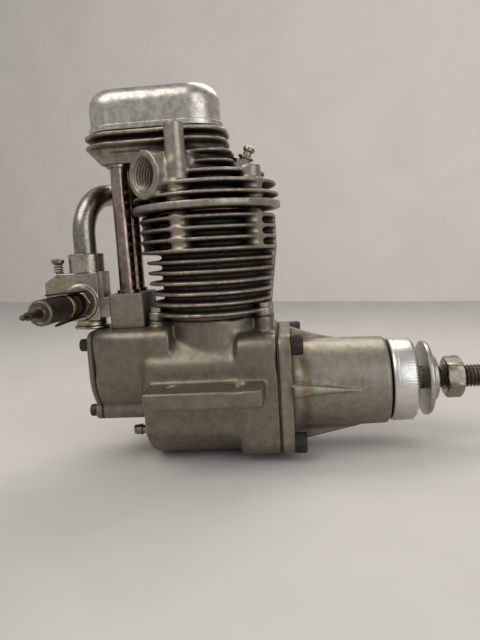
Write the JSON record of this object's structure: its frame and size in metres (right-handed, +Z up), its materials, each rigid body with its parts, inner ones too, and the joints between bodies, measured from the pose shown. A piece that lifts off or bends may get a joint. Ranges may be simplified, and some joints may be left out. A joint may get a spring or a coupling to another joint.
{
  "type": "four-stroke model engine",
  "caption": "Upright four-stroke glow engine for model aircraft with finned cylinder, overhead valve gear, rear carburettor, beam lugs and a threaded propeller shaft.",
  "frame": {"origin": "on the crank axis at the centre of the four lug holes, on the underside of the lugs", "axes": "+X forward along the crankshaft to the propeller end, +Y to the port side, +Z up the cylinder"},
  "size_m": [0.1599, 0.0877, 0.1287],
  "materials": {
    "cast_aluminium": "satin cast",
    "cam_cover": "satin cast",
    "finned_aluminium": "satin with brown heat stains",
    "polished_aluminium": "worn polish",
    "turned_aluminium": "turned",
    "gasket": "matte paper",
    "black_screws": "black oxide",
    "steel": "machined",
    "zinc_steel": "zinc plated",
    "spring_steel": "dark spring steel",
    "copper": "soft copper",
    "rod_alloy": "machined",
    "bronze": "bronze",
    "tinted_tube": "bright with copper-brown tint",
    "dark_chrome": "dark worn chrome",
    "plated_metal": "plated, yellow-brown stains",
    "brass": "aged brass",
    "plug_body": "nickel plated"
  },
  "bodies": {
    "engine": {"crankcase": "cast_aluminium", "cam_cover": "cam_cover", "cam_cover_gasket": "gasket", "cam_cover_screws": "black_screws", "front_housing": "cast_aluminium", "front_gasket": "gasket", "front_housing_screws": "black_screws", "bearing_outer_races": "steel", "bearing_balls": "steel", "cylinder_barrel": "finned_aluminium", "barrel_screws": "steel", "cylinder_liner": "steel", "head_gasket": "copper", "cylinder_head": "finned_aluminium", "head_bolts": "black_screws", "rocker_cover_gasket": "gasket", "rocker_cover": "polished_aluminium", "rocker_cover_screws": "black_screws", "rocker_shaft": "steel", "valve_inserts": "bronze", "pushrod_tubes": "tinted_tube", "tappet_block": "cast_aluminium", "bushes": "bronze", "intake_manifold": "dark_chrome", "carburettor_body": "plated_metal", "needle_holder": "plated_metal", "needle_ratchet": "spring_steel", "fuel_nipple": "brass", "idle_spring": "steel", "carburettor_bracket": "zinc_steel", "glow_plug": "plug_body", "breather_nipple": "brass", "intake_valve_spring": "spring_steel", "exhaust_valve_spring": "spring_steel"},
    "crank": {"crankshaft": "steel", "bearing_inner_races": "steel", "drive_hub": "turned_aluminium", "propeller_washer": "zinc_steel", "propeller_nut": "steel", "drive_shaft": "steel", "drive_gear": "steel"},
    "cam": {"camshaft": "steel", "cam_gear": "steel"},
    "piston_group": {"piston": "turned_aluminium", "piston_ring": "steel", "rod_pins": "steel", "connecting_rod": "rod_alloy"},
    "throttle": {"throttle_barrel": "steel", "throttle_arm": "zinc_steel"},
    "needle": {"needle_valve": "brass"},
    "idle_stop": {"idle_screw": "brass"},
    "intake_lifter": {"intake_tappet": "steel", "intake_pushrod": "steel"},
    "intake_rocking": {"intake_rocker": "steel"},
    "intake_valve_group": {"intake_valve": "steel"},
    "exhaust_lifter": {"exhaust_tappet": "steel", "exhaust_pushrod": "steel"},
    "exhaust_rocking": {"exhaust_rocker": "steel"},
    "exhaust_valve_group": {"exhaust_valve": "steel"}
  },
  "joints": [
    {"name": "crank_spin", "type": "hinge", "parent": "engine", "child": "crank", "pos_m": [0, 0, 0], "axis": [1, 0, 0], "continuous": true},
    {"name": "cam_spin", "type": "hinge", "parent": "engine", "child": "cam", "pos_m": [-0.0278, 0, 0.0125], "axis": [0, 1, 0], "continuous": true},
    {"name": "piston_slide", "type": "slide", "parent": "engine", "child": "piston_group", "axis": [0, 0, 1], "range_m": [-0.022, 0]},
    {"name": "throttle_turn", "type": "hinge", "parent": "engine", "child": "throttle", "pos_m": [-0.0434, -0.006, 0.0338], "axis": [0, -1, 0], "range_deg": [0, 75]},
    {"name": "needle_turn", "type": "hinge", "parent": "engine", "child": "needle", "pos_m": [-0.0434, -0.03, 0.0338], "axis": [0, -1, 0], "range_deg": [0, 1080]},
    {"name": "idle_turn", "type": "hinge", "parent": "engine", "child": "idle_stop", "pos_m": [-0.0514, -0.0085, 0.046], "axis": [0, 0, 1], "range_deg": [-180, 180]},
    {"name": "intake_lift", "type": "slide", "parent": "engine", "child": "intake_lifter", "axis": [0, 0, 1], "range_m": [0, 0.0026], "stiffness_N_per_m": 600, "springref_m": -0.003},
    {"name": "intake_rock", "type": "hinge", "parent": "engine", "child": "intake_rocking", "pos_m": [-0.013, 0.0053, 0.096], "axis": [0, 1, 0], "range_deg": [0, 10.4]},
    {"name": "intake_valve_slide", "type": "slide", "parent": "engine", "child": "intake_valve_group", "axis": [0, 0, 1], "range_m": [-0.0025, 0], "deforming": ["intake_valve_spring"]},
    {"name": "exhaust_lift", "type": "slide", "parent": "engine", "child": "exhaust_lifter", "axis": [0, 0, 1], "range_m": [0, 0.0026], "stiffness_N_per_m": 600, "springref_m": -0.003},
    {"name": "exhaust_rock", "type": "hinge", "parent": "engine", "child": "exhaust_rocking", "pos_m": [-0.013, -0.0053, 0.096], "axis": [0, 1, 0], "range_deg": [0, 10.4]},
    {"name": "exhaust_valve_slide", "type": "slide", "parent": "engine", "child": "exhaust_valve_group", "axis": [0, 0, 1], "range_m": [-0.0025, 0], "deforming": ["exhaust_valve_spring"]}
  ],
  "couplings": [
    {"joint": "cam_spin", "follows": "crank_spin", "ratio": 0.5},
    {"joint": "intake_rock", "follows": "intake_lift", "rad_per_m": 69},
    {"joint": "intake_valve_slide", "follows": "intake_lift", "ratio": -0.95},
    {"joint": "exhaust_rock", "follows": "exhaust_lift", "rad_per_m": 69},
    {"joint": "exhaust_valve_slide", "follows": "exhaust_lift", "ratio": -0.95}
  ]
}
